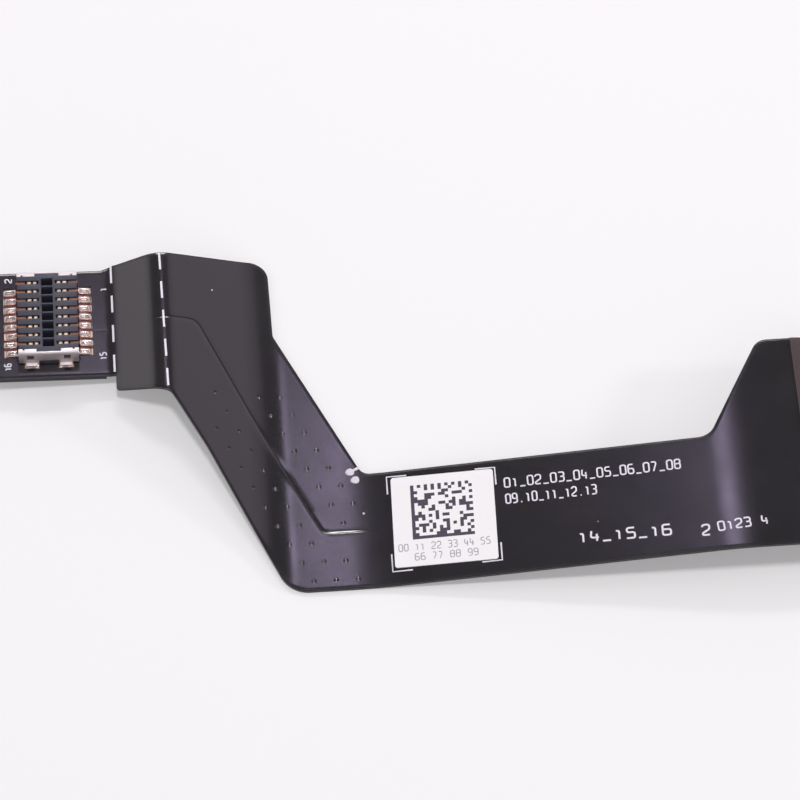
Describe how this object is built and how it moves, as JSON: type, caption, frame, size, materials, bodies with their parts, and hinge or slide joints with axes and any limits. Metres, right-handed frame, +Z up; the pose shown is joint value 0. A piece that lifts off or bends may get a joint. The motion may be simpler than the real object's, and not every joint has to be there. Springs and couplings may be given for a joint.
{
  "type": "flat flex cable",
  "caption": "Flat flexible circuit with a two-row board connector on a stiffened panel, a bent dog-leg arm, a long straight run and a wide end with contact lands underneath.",
  "frame": {"origin": "middle of the plan box, on the table that the cable lies on", "axes": "+X along the cable from the connector to the wide end, +Y across it towards the connector panel, +Z up from the table"},
  "size_m": [0.0904, 0.037, 0.004],
  "materials": {
    "polyimide_base": "red-brown polyimide film",
    "copper_foil": "rolled copper foil",
    "black_coverlay": "black polyimide coverlay, soft sheen",
    "gold_plate": "gold flash over nickel",
    "brown_film": "brown polyimide film over the black coverlay",
    "label_film": "printed label film",
    "stiffener_board": "polyimide stiffener board",
    "adhesive": "thermosetting adhesive film",
    "connector_plastic": "moulded liquid crystal polymer",
    "tinned_metal": "tin-plated steel strip",
    "solder": "reflowed solder",
    "contact_bronze": "phosphor bronze with gold-plated tips"
  },
  "bodies": {
    "root": {"base_film": "polyimide_base", "front_copper_far": "copper_foil", "front_copper_near": "copper_foil", "rear_copper_far": "copper_foil", "rear_copper_near": "copper_foil", "signal_traces": "copper_foil", "plated_vias": "copper_foil", "front_coverlay": "black_coverlay", "rear_coverlay": "black_coverlay", "pads_left": "gold_plate", "pads_right": "gold_plate", "pads_hold_down": "gold_plate", "end_lands": "gold_plate", "end_film": "brown_film", "label": "label_film", "stiffener": "stiffener_board", "stiffener_adhesive": "adhesive", "housing": "connector_plastic", "hold_down_near": "tinned_metal", "hold_down_far": "tinned_metal", "solder_left": "solder", "solder_right": "solder", "solder_hold_down": "solder", "contact_1": "contact_bronze", "contact_2": "contact_bronze", "contact_3": "contact_bronze", "contact_4": "contact_bronze", "contact_5": "contact_bronze", "contact_6": "contact_bronze", "contact_7": "contact_bronze", "contact_8": "contact_bronze", "contact_9": "contact_bronze", "contact_10": "contact_bronze", "contact_11": "contact_bronze", "contact_12": "contact_bronze", "contact_13": "contact_bronze", "contact_14": "contact_bronze", "contact_15": "contact_bronze", "contact_16": "contact_bronze"}
  },
  "joints": []
}
